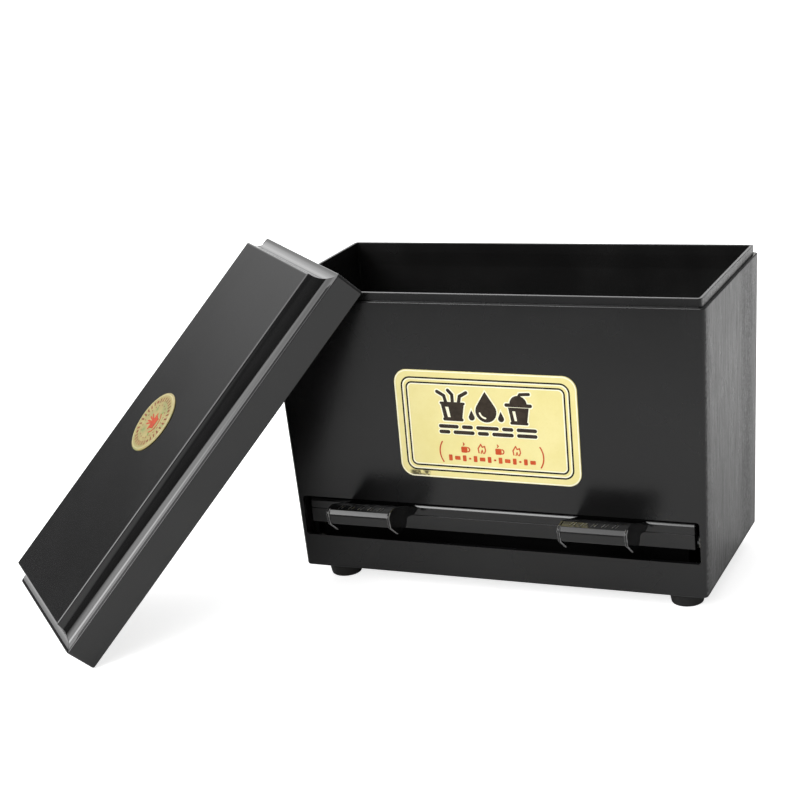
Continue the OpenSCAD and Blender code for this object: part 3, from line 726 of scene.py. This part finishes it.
def wire(bm, points, r, place, n=12):
    """A round wire along a line of points."""
    pts = [Vector(p) for p in points]
    side = Vector((0, 0, 1))
    rings = []
    for i, p in enumerate(pts):
        t = (pts[min(i + 1, len(pts) - 1)] - pts[max(i - 1, 0)]).normalized()
        side = (side - t * side.dot(t)).normalized()
        other = t.cross(side)
        rings.append([p + side * r * math.cos(2 * math.pi * k / n) + other * r * math.sin(2 * math.pi * k / n) for k in range(n)])
    loft(bm, rings, place, caps=(True, True))


for s, side_name in ((-1, "left"), (1, "right")):
    xe = CX0 + PITCH * TURNS
    path = [(CX0 - 2.6, -9, COIL)] + corner((CX0 - 2.6, -9, COIL), (CX0, -9, COIL), (CX0, 0, COIL), 0.8)
    path += [(CX0, y, COIL) for y in (-6, -4, -2)]
    for i in range(36 * TURNS + 1):
        a = math.radians(90 - 10 * i)
        path.append((CX0 + PITCH * i / 36, COIL * math.cos(a), COIL * math.sin(a)))
    path += [(xe, 2, COIL)] + corner((xe, 2, COIL), (xe, 4.6, COIL), (xe, 4.6, -COIL), 0.8)
    path += corner((xe, 4.6, COIL), (xe, 4.6, -COIL), (xe, 9, -COIL), 0.8) + corner((xe, 4.6, -COIL), (xe, 9, -COIL), (xe + 3.2, 9, -COIL), 0.8)
    path.append((xe + 3.2, 9, -COIL))
    bm = bmesh.new()
    wire(bm, path, WIRE, lambda p: at(s * p[0], AY + p[1], AZ + p[2]))
    ob = from_bmesh("return_spring_wire_" + side_name, bm, smooth=60, weighted=False)
    ob.data.materials.append(M_SPRING)
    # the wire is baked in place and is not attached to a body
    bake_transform(ob)
    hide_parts("return_spring_" + side_name)

# ---------------------------------------------------------------- flat print


def disc(x, y, r, n=24):
    return [(x + r * math.cos(2 * math.pi * i / n), y + r * math.sin(2 * math.pi * i / n)) for i in range(n)]


def stroke(points, w, closed=False):
    """A line with round ends, as overlapping polygons."""
    out = [disc(p[0], p[1], w / 2, 20) for p in points]
    pts = list(points) + ([points[0]] if closed else [])
    for a, b in zip(pts, pts[1:]):
        a, b = Vector(a), Vector(b)
        d = b - a
        if d.length < 1e-6:
            continue
        n = Vector((-d.y, d.x)).normalized() * (w / 2)
        out.append([tuple(a - n), tuple(b - n), tuple(b + n), tuple(a + n)])
    return out


def arc(x, y, r, a0, a1, n=16):
    return [(x + r * math.cos(math.radians(a0 + (a1 - a0) * i / n)), y + r * math.sin(math.radians(a0 + (a1 - a0) * i / n)))
            for i in range(n + 1)]


def band(outer, inner):
    """A closed band between two loops with the same number of points, as quads."""
    k = len(outer)
    return [[outer[i], outer[(i + 1) % k], inner[(i + 1) % k], inner[i]] for i in range(k)]


def box2(x0, y0, x1, y1, r=0.0):
    if r <= 0:
        return [(x0, y0), (x1, y0), (x1, y1), (x0, y1)]
    return [(p[0], p[1]) for p in ring(x0, x1, y0, y1, r, 0, 5)]


def ccw(poly):
    a = sum(poly[i - 1][0] * poly[i][1] - poly[i][0] * poly[i - 1][1] for i in range(len(poly)))
    return poly if a > 0 else list(reversed(poly))


def flat_print(name, polys, mat, body, matrix, z, thick=0.02):
    """Prints a union of polygons (millimetres) as a thin layer whose top is at z."""
    verts, faces = [], []
    for poly in polys:
        poly = ccw(poly)
        faces.append(list(range(len(verts), len(verts) + len(poly))))
        verts.extend(Vector((p[0], p[1])) for p in poly)
    v2, e2, f2, _, _, owners = delaunay_2d_cdt(verts, [], faces, 1, 1e-5)
    bm = bmesh.new()
    top = [bm.verts.new((p.x * MM, p.y * MM, z * MM)) for p in v2]
    for f, own in zip(f2, owners):
        if not own:
            continue
        try:
            bm.faces.new([top[i] for i in f])
        except ValueError:
            pass
    loose = [v for v in bm.verts if not v.link_faces]
    bmesh.ops.delete(bm, geom=loose, context="VERTS")
    bmesh.ops.recalc_face_normals(bm, faces=bm.faces)
    if sum(f.normal.z for f in bm.faces) < 0:
        bmesh.ops.reverse_faces(bm, faces=bm.faces)
    ext = bmesh.ops.extrude_face_region(bm, geom=list(bm.faces), use_keep_orig=True)
    low = [g for g in ext["geom"] if isinstance(g, bmesh.types.BMVert)]
    bmesh.ops.translate(bm, verts=low, vec=(0, 0, -thick * MM))
    ob = from_bmesh(name, bm, matrix, smooth=0, weighted=False)
    give(ob, mat, body)
    return ob


# ---------------------------------------------------------------- label on the front

tilt = math.degrees(math.atan(0.9 / 173.3))
front = (Matrix.Translation(at(0, front_at(Z0), Z0)) @ rx(tilt) @ Matrix.Translation(Vector((1.4, -0.02, 110 - Z0)) * MM)
         @ ry(0.44) @ rx(90))
LW, LH = 114.0, 67.4


def label_ring(d, r, z, n=12):
    return ring(-LW / 2 + d, LW / 2 - d, -LH / 2 + d, LH / 2 - d, r, z, n)


bm = bmesh.new()
loft(bm, [label_ring(*q) for q in ((0.0, 8.5, 0.0), (0.0, 8.5, 0.42), (0.06, 8.45, 0.56), (0.2, 8.3, 0.63), (0.4, 8.1, 0.65))],
     lambda p: Vector(p) * MM, caps=(True, True))
label = from_bmesh("label_plate", bm, front, smooth=50)
give(label, M_LABEL, "box")
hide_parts("front_label")


def border(d, w, r, n=12):
    a = [(p[0], p[1]) for p in label_ring(d - w / 2, r + w / 2, 0, n)]
    b = [(p[0], p[1]) for p in label_ring(d + w / 2, r - w / 2, 0, n)]
    return band(a, b)


TOP = 0.65
flat_print("label_border_light", border(0.62, 0.7, 7.9) + border(5.5, 0.9, 5.0) + border(8.5, 0.9, 3.0), M_CREAM_INK, "box", front, TOP + 0.012, 0.012)
flat_print("label_border_dark", border(4.7, 1.0, 5.6) + border(7.7, 1.0, 3.6), M_LINE_INK, "box", front, TOP + 0.022, 0.022)


def straws_in_glass(x, y):
    """A tumbler with three bent straws."""
    g = [[(x - 7.4, y + 1.4), (x - 5.6, y - 8.8), (x + 5.6, y - 8.8), (x + 7.4, y + 1.4)]]
    g += stroke([(x - 5.5, y - 8.4), (x + 5.5, y - 8.4)], 2.0)
    g += stroke([(x - 7.2, y + 1.6), (x + 7.2, y + 1.6)], 1.6)
    g += stroke([(x - 3.6, y), (x - 5.0, y + 6.2), (x - 9.2, y + 8.6)], 2.1)
    g += stroke([(x + 0.2, y), (x + 0.2, y + 7.0), (x - 2.2, y + 9.6)], 2.1)
    g += stroke([(x + 3.6, y), (x + 5.0, y + 6.2), (x + 9.2, y + 8.6)], 2.1)
    return g


def drop(x, y):
    """A large drop with two small ones."""
    pts = [(x, y + 9.8)] + [(x + 6.6 * math.cos(math.radians(a)), y - 2.6 + 6.6 * math.sin(math.radians(a))) for a in range(30, -211, -12)]
    g = [pts]
    for dx in (-9.2, 9.2):
        g.append([(x + dx, y - 2.0)] + [(x + dx + 1.9 * math.cos(math.radians(a)), y - 6.6 + 1.9 * math.sin(math.radians(a)))
                                        for a in range(30, -211, -24)])
    return g


def cup_and_straw(x, y):
    """A lidded cup with a bent straw."""
    g = [[(x - 6.4, y + 1.2), (x - 4.8, y - 8.6), (x + 4.8, y - 8.6), (x + 6.4, y + 1.2)]]
    g += stroke([(x - 4.7, y - 8.4), (x + 4.7, y - 8.4)], 1.8)
    g += stroke([(x - 7.4, y + 2.6), (x + 7.4, y + 2.6)], 2.2)
    g.append(arc(x, y + 3.2, 5.4, 0, 180, 14))
    g += stroke([(x + 0.4, y + 7.6), (x + 1.4, y + 9.4), (x + 6.8, y + 9.8)], 1.9)
    return g


def grown(polys, d):
    """Each polygon, set out by d, for the pale outline."""
    return [inset(ccw(p), -d) for p in polys]


icons = straws_in_glass(-20.6, 12.3) + drop(0.4, 12.3) + cup_and_straw(20.8, 12.0)
cuts = [[(-25.2, 11.6), (-23.2, 11.6), (-22.2, 5.2), (-23.9, 5.2)], [(16.9, 11.0), (18.7, 11.0), (19.5, 5.0), (18.0, 5.0)]]
cuts += stroke(arc(0.4, 9.7, 4.1, 195, 262, 8), 1.1)
row = []
for z0, z1, start, lengths in ((-1.75, 0.55, -30.2, (12.6, 7.0, 14.2, 7.0, 12.6)), (-5.25, -2.95, -30.2, (7.0, 13.4, 7.0, 13.4, 12.6))):
    x = start
    for n in lengths:
        row.append(box2(x, z0, x + n, z1, 1.1))
        x += n + 2.05
flat_print("label_outline", grown(icons, 0.75) + grown(row, 0.55), M_CREAM_INK, "box", front, TOP + 0.012, 0.012)
flat_print("label_marks", icons + row, M_DARK_INK, "box", front, TOP + 0.026, 0.02)
flat_print("label_mark_cuts", cuts, M_CREAM_INK, "box", front, TOP + 0.036, 0.016)
red = stroke(arc(-19.2, -16.8, 11.6, 147, 213), 0.85) + stroke(arc(22.8, -16.8, 11.6, -33, 33), 0.85)
for i, x in enumerate((-14.6, -3.9, 7.0, 18.0)):
    if i % 2 == 0:
        # a steaming mug
        red += [box2(x - 2.5, -16.7, x + 1.4, -12.9, 0.7)]
        red += stroke(arc(x + 1.5, -14.7, 1.35, -80, 80, 8), 0.8)
        red += stroke([(x - 1.0, -12.0), (x - 0.4, -11.3), (x - 1.0, -10.6)], 0.75)
    else:
        # a flame
        red += stroke([(x - 2.0, -16.2), (x - 2.4, -13.6), (x - 0.6, -10.8), (x + 0.2, -12.6), (x + 1.8, -12.0),
                       (x + 2.2, -14.6), (x + 1.4, -16.4)], 0.8)
        red += stroke([(x - 0.7, -16.4), (x + 0.1, -14.4), (x + 0.6, -16.4)], 0.7)
x = -25.4
for i in range(14):
    w = (2.3, 3.5, 2.3, 1.5)[i % 4]
    h = (1.9, 1.2, 1.9, 0.6)[i % 4]
    red.append(box2(x, -20.3 - h, x + w, -20.3 + h, 0.5))
    x += w + 1.55
flat_print("label_red_marks", red, M_RED_INK, "box", front, TOP + 0.024, 0.02)

# ---------------------------------------------------------------- lid

lean = LEAN_AT


def lid_ring(ix, iy, r, w, n=5):
    return ring(-HX + ix, HX - ix, -HY + iy, HY - iy, r, w, n)


rows = []
# flat top, rounded edge, cove, frame edge, skirt
rows += [(EE + 1.5, ES + 1.5, 0.3, PH), (EE + 0.95, ES + 0.95, 0.3, PH - 0.01)]
for a in (18, 36, 54, 72, 90):
    k, q = math.sin(math.radians(a)), math.cos(math.radians(a))
    rows.append((EE + 0.9 - 0.9 * k, ES + 0.9 - 0.9 * k, 0.4, PH - 0.9 + 0.9 * q))
for a in range(84, 0, -6):
    k, q = math.sin(math.radians(a)), math.cos(math.radians(a))
    if PH * (1 - q) < PH - 1.0:
        rows.append((0.9 + (EE - 0.9) * k, 0.9 + (ES - 0.9) * k, 0.35, PH * (1 - q)))
rows += [(0.95, 0.95, 0.8, 0.0), (0.5, 0.5, 1.7, 0.0), (0.22, 0.22, 1.9, -0.08), (0.06, 0.06, 2.0, -0.26), (0.0, 0.0, 2.0, -0.6),
         (0, 0, 2.0, -6), (0, 0, 2.0, -13), (0, 0, 2.0, -18.5), (0.06, 0.06, 2.0, -18.88), (0.22, 0.22, 1.9, -19.12),
         (0.5, 0.5, 1.7, -SK), (1.2, 1.2, 0.9, -SK), (1.5, 1.5, 0.6, -19.0), (WT, WT, 0.5, -18.6), (WT, WT, 0.5, -13),
         (WT, WT, 0.5, -6), (WT, WT, 0.5, -2.2), (WT + 0.2, WT + 0.2, 0.5, -WT - 0.1)]
for a in list(range(6, 90, 6)):
    k, q = math.sin(math.radians(a)), math.cos(math.radians(a))
    rows.append((WT + 0.8 + (EE - 0.8) * k, WT + 0.8 + (ES - 0.8) * k, 0.35, PH * (1 - q) - WT))
rows += [(WT + EE + 0.3, WT + ES + 0.3, 0.4, PH - WT - 0.2), (WT + EE + 0.9, WT + ES + 0.9, 0.5, PH - WT)]
bm = bmesh.new()
loft(bm, [lid_ring(*q) for q in rows], lambda p: lean @ (Vector(p) * MM), caps=(True, True))
lid = from_bmesh("lid_cover", bm, smooth=60)
give(lid, M_LID, "lid")
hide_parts("lid_panel", "lid_cove_front", "lid_cove_back", "lid_cove_left", "lid_cove_right",
            "lid_skirt_front", "lid_skirt_back", "lid_skirt_left", "lid_skirt_right")

# badge
spot = lean @ Matrix.Translation(Vector((-0.4, 5.6, PH)) * MM)
bm = bmesh.new()
lathe(bm, [(0, 0.02), (20.4, 0.02), (20.5, 0.12), (20.5, 0.42), (20.42, 0.56), (20.2, 0.64), (19.75, 0.68), (19.55, 0.74),
           (19.3, 0.82), (17.0, 0.85), (9.0, 0.87), (0, 0.88)], lambda p: Vector(p) * MM, n=96)
badge = from_bmesh("badge_disc", bm, spot, smooth=30)
give(badge, M_BADGE, "lid")
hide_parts("lid_badge")


def circle(r, n=72):
    return [(r * math.cos(2 * math.pi * i / n), r * math.sin(2 * math.pi * i / n)) for i in range(n)]


def turned(poly, a, r=0.0):
    c, s = math.cos(math.radians(a)), math.sin(math.radians(a))
    return [((p[0] + r) * c - p[1] * s, (p[0] + r) * s + p[1] * c) for p in poly]


TB = 0.9
flat_print("badge_rim", band(circle(19.3), circle(18.8)), M_RIM_INK, "lid", spot, TB, 0.06)
marks = []
for i in range(32):
    a = 360 * i / 32
    if i % 8 == 4:
        marks.append(turned(disc(0, 0, 1.1, 16), a, 15.6))
    else:
        marks.append(turned(box2(-1.6, -0.5, 1.6, 0.5, 0.3), a, 15.6))
        marks.append(turned(box2(0.5 if i % 2 else -1.4, -0.75, 1.3 if i % 2 else -0.6, 0.75, 0.3), a, 15.6))
flat_print("badge_marks", marks, M_MARK_INK, "lid", spot, TB, 0.05)
dots = [turned(disc(0, 0, 0.5, 12), 12 + i * 18, 11.6) for i in range(20)]
flat_print("badge_dots", dots, M_MARK_INK, "lid", spot, TB, 0.05)
leaf = []
for a in (35, 145, 215, 325):
    leaf.append(turned([(-1.7, 0), (-0.6, -0.9), (0.9, -0.8), (1.9, 0), (0.9, 0.8), (-0.6, 0.9)], a, 9.2))
flat_print("badge_leaves", leaf, M_GREEN_INK, "lid", spot, TB, 0.05)
# red motif: a cup between two sprays of straws
motif = [[(-4.6, -0.6), (-3.4, -5.6), (3.4, -5.6), (4.6, -0.6)]]
motif += stroke([(-5.2, 0.0), (5.2, 0.0)], 1.5)
for a in (60, 78, 102, 120):
    motif += stroke([(2.0 * math.cos(math.radians(a)), 0.4), (7.0 * math.cos(math.radians(a)), 0.4 + 6.2 * math.sin(math.radians(a)))], 1.15)
motif += stroke(arc(0, -1.2, 7.4, 205, 335), 0.8)
bm_height = TB + 0.06
flat_print("badge_motif", motif, M_MOTIF_INK, "lid", spot, bm_height, 0.12)

# ---------------------------------------------------------------- small raised marks on the levers, in grey metal as a painted glint

for s, side_name in ((-1, "left"), (1, "right")):
    plane = Matrix.Translation(at(s * (LX0 + LX1) / 2, -90.0, 63.84)) @ rx(7.37)
    ticks = []
    for i in range(5):
        x = -12.6 + i * 6.3
        ticks += stroke([(x - 1.5, -1.5), (x - 0.4, 1.5)], 0.42)
        ticks += stroke([(x + 0.5, -1.5), (x + 1.6, 1.5)], 0.42)
    flat_print("lever_marks_" + side_name, ticks, M_MARK_GLINT, "rocker", plane, 0.24, 0.5)

# ---------------------------------------------------------------- carried-over CAD pieces

for names, mat in (
    # the inner parts and the drum get the darker, hardly reflecting plastic: painted shade inside the box
    (("base_plate", "hopper_floor", "side_frame_left", "side_frame_right"), M_INNER_SHADE),
    (("feed_rocker",), M_DRUM_SHADE),
    (("base_screws", "foot_screws", "frame_screws", "floor_screws", "lever_screws", "rocker_shaft"), M_ZINC),
    (("bush_left", "bush_right"), M_ACETAL),
):
    for n in names:
        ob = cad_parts[n]
        if not ob.data.materials:
            ob.data.materials.append(mat)
        for sl in ob.material_slots:
            sl.material = mat
